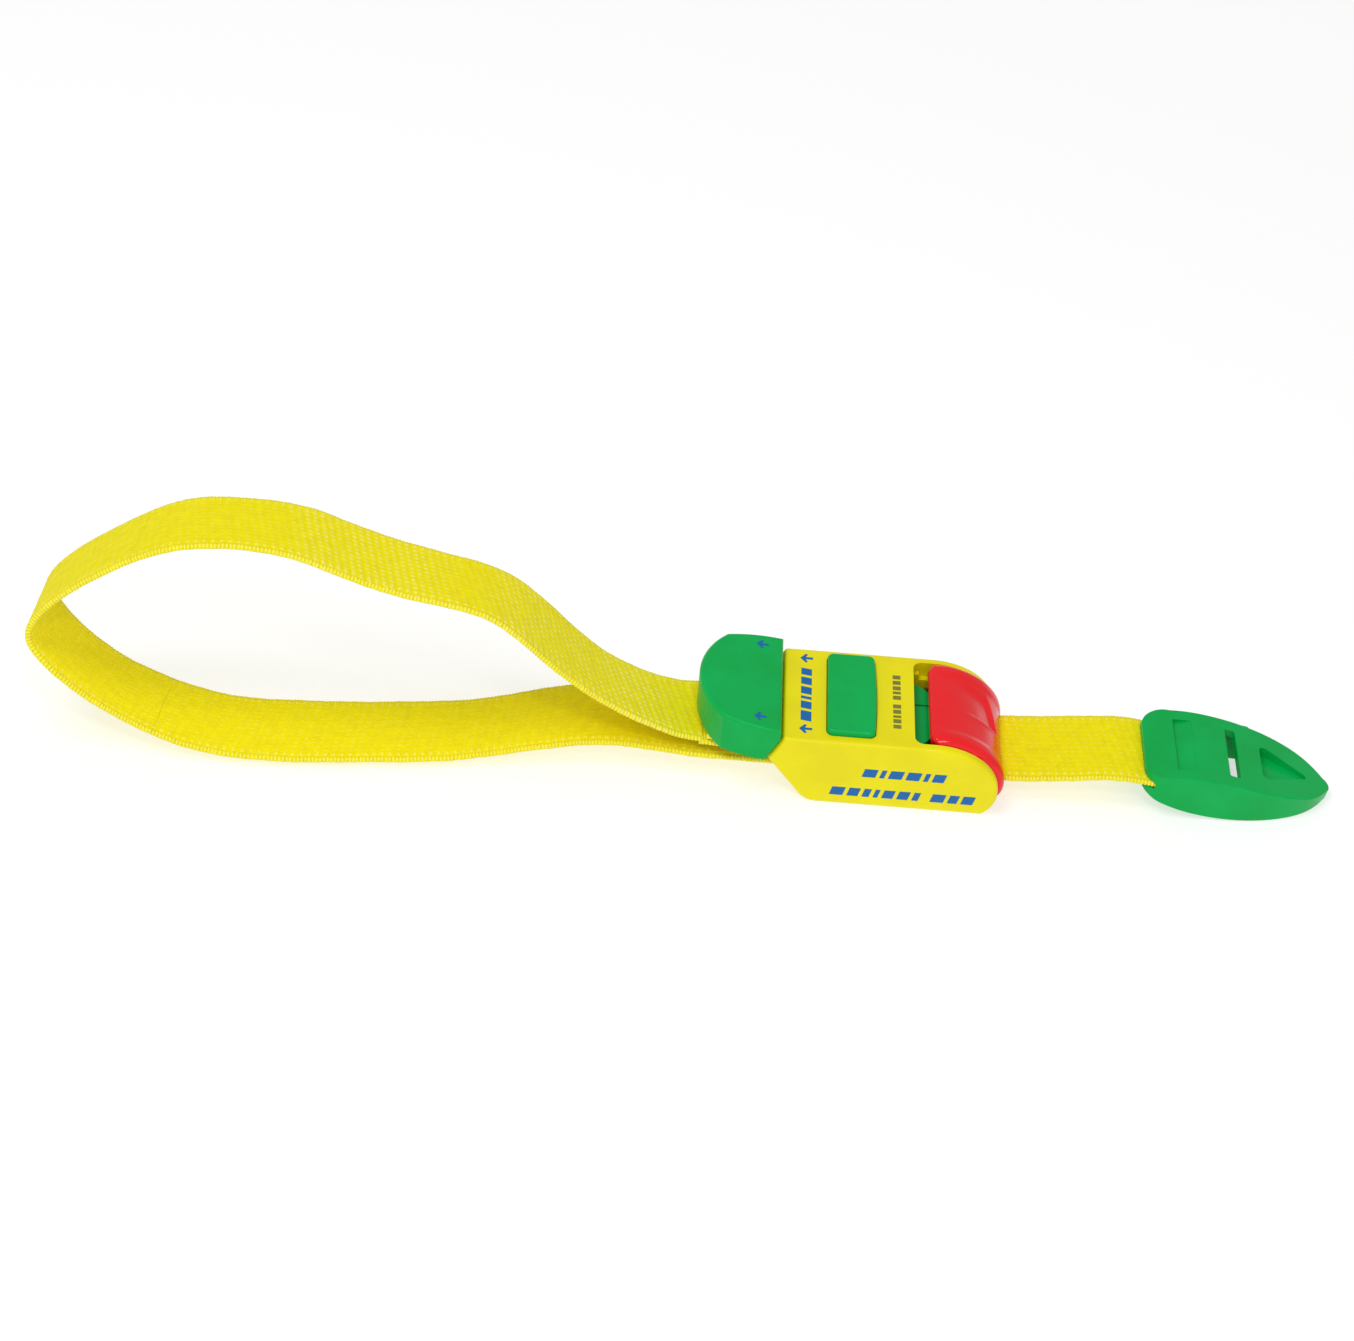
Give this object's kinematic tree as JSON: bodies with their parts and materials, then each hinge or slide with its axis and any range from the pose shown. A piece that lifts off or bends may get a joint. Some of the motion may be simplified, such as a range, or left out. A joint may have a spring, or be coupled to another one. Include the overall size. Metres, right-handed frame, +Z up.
{
  "type": "quick-release tourniquet",
  "caption": "Elastic webbing arm loop with a one-handed buckle: plug latched in a housing by a push button, cam lever to let the band out, two-shell end tip.",
  "frame": {"origin": "on the flat underside of the buckle housing, in the middle of its width, below the rear half of the release button's side of the chamber", "axes": "+X along the buckle from the arm loop to the free end of the band, +Y across it, +Z up out of the base"},
  "size_m": [0.3281, 0.0378, 0.0643],
  "materials": {
    "housing_yellow_abs": "moulded yellow ABS, satin gloss",
    "plug_green_abs": "moulded green ABS, satin gloss",
    "lever_red_abs": "moulded red ABS, polished",
    "elastic_webbing": "woven yellow elastic webbing with a diagonal rib",
    "sewing_thread": "polyester thread",
    "spring_steel": "bright drawn wire and rod"
  },
  "bodies": {
    "housing": {"housing_shell": "housing_yellow_abs", "base_plate": "housing_yellow_abs", "lever_pin": "spring_steel", "button_spring_front": "spring_steel", "button_spring_back": "spring_steel", "strap_lower": "elastic_webbing"},
    "plug": {"plug_body": "plug_green_abs", "anchor_bar": "spring_steel", "strap_anchor_loop": "elastic_webbing", "anchor_stitching": "sewing_thread", "strap_upper": "elastic_webbing", "strap_bend": "elastic_webbing"},
    "button": {"release_button": "plug_green_abs"},
    "lever": {"release_lever": "lever_red_abs", "lever_spring": "spring_steel"},
    "free_end": {"strap_tail": "elastic_webbing", "tip_upper_shell": "plug_green_abs", "tip_lower_shell": "plug_green_abs"}
  },
  "joints": [
    {"name": "plug_slide", "type": "slide", "parent": "housing", "child": "plug", "axis": [-1, 0, 0], "range_m": [0, 0.045]},
    {"name": "button_press", "type": "slide", "parent": "housing", "child": "button", "axis": [0, 0, -1], "range_m": [0, 0.002], "stiffness_N_per_m": 600, "springref_m": -0.001, "deforming": ["button_spring_front", "button_spring_back"]},
    {"name": "lever_release", "type": "hinge", "parent": "housing", "child": "lever", "pos_m": [0.016, 0, 0.0125], "axis": [0, -1, 0], "range_deg": [0, 12], "stiffness_Nm_per_rad": 0.05, "springref_deg": -5.73},
    {"name": "strap_pull", "type": "slide", "parent": "housing", "child": "free_end", "axis": [1, 0, 0], "range_m": [0, 0.025]}
  ]
}
